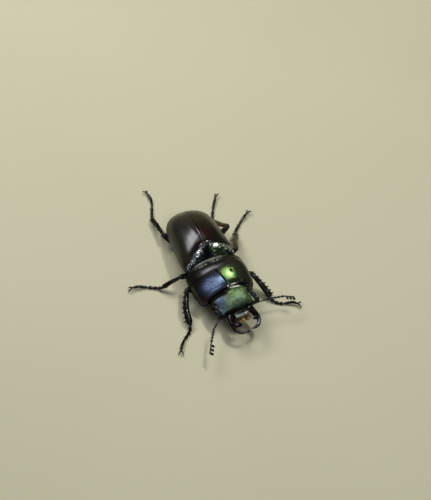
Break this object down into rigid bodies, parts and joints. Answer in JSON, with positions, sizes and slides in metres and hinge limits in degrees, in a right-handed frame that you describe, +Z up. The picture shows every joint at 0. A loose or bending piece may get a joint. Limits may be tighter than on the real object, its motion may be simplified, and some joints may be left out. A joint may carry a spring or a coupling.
{
  "type": "stag beetle",
  "caption": "Small male stag beetle standing still, life size: domed brown-black wing cases, broad pronotum and head, toothed curved mandibles, six legs and elbowed antennae.",
  "frame": {"origin": "on the floor, at the centre of the bounding box's base", "axes": "+Z up, head towards -Y, the beetle's own left side at +X"},
  "size_m": [0.0254, 0.036, 0.0062],
  "materials": {
    "wing_case": "satin brown-black wing case with fine pits and a few grooves beside the seam",
    "pronotum_shell": "finely pitted black shell with a blue and a green lustre",
    "head_shell": "finely pitted black shell with a green lustre that turns blue on the right side",
    "underside_shell": "glossy black-brown shell",
    "eye": "wet-looking black facets",
    "mandible_shell": "polished black with a faint purple-brown",
    "leg_shell": "glossy black, olive-brown towards the feet",
    "claw": "glossy dark horn",
    "feeler": "dark grey-brown with short hairs",
    "mouth_brush": "orange-brown hair brush"
  },
  "bodies": {
    "root": {"elytron_left": "wing_case", "elytron_right": "wing_case", "scutellum": "pronotum_shell", "pronotum": "pronotum_shell", "waist": "pronotum_shell", "metasternum": "underside_shell", "abdomen": "underside_shell", "prosternum": "underside_shell", "head": "head_shell", "labrum": "head_shell", "eye_left": "eye", "eye_right": "eye", "mandible_left": "mandible_shell", "mandible_right": "mandible_shell", "palp_left": "feeler", "palp_right": "feeler", "mouth_brush": "mouth_brush", "antenna_left_scape": "feeler", "antenna_left_funicle": "feeler", "antenna_left_club": "feeler", "antenna_right_scape": "feeler", "antenna_right_funicle": "feeler", "antenna_right_club": "feeler", "leg_front_left_coxa": "leg_shell", "leg_front_left_femur": "leg_shell", "leg_front_left_tibia": "leg_shell", "leg_front_left_tarsus": "leg_shell", "leg_front_left_claws": "claw", "leg_front_right_coxa": "leg_shell", "leg_front_right_femur": "leg_shell", "leg_front_right_tibia": "leg_shell", "leg_front_right_tarsus": "leg_shell", "leg_front_right_claws": "claw", "leg_middle_left_coxa": "leg_shell", "leg_middle_left_femur": "leg_shell", "leg_middle_left_tibia": "leg_shell", "leg_middle_left_tarsus": "leg_shell", "leg_middle_left_claws": "claw", "leg_middle_right_coxa": "leg_shell", "leg_middle_right_femur": "leg_shell", "leg_middle_right_tibia": "leg_shell", "leg_middle_right_tarsus": "leg_shell", "leg_middle_right_claws": "claw", "leg_hind_left_coxa": "leg_shell", "leg_hind_left_femur": "leg_shell", "leg_hind_left_tibia": "leg_shell", "leg_hind_left_tarsus": "leg_shell", "leg_hind_left_claws": "claw", "leg_hind_right_coxa": "leg_shell", "leg_hind_right_femur": "leg_shell", "leg_hind_right_tibia": "leg_shell", "leg_hind_right_tarsus": "leg_shell", "leg_hind_right_claws": "claw"}
  },
  "joints": []
}
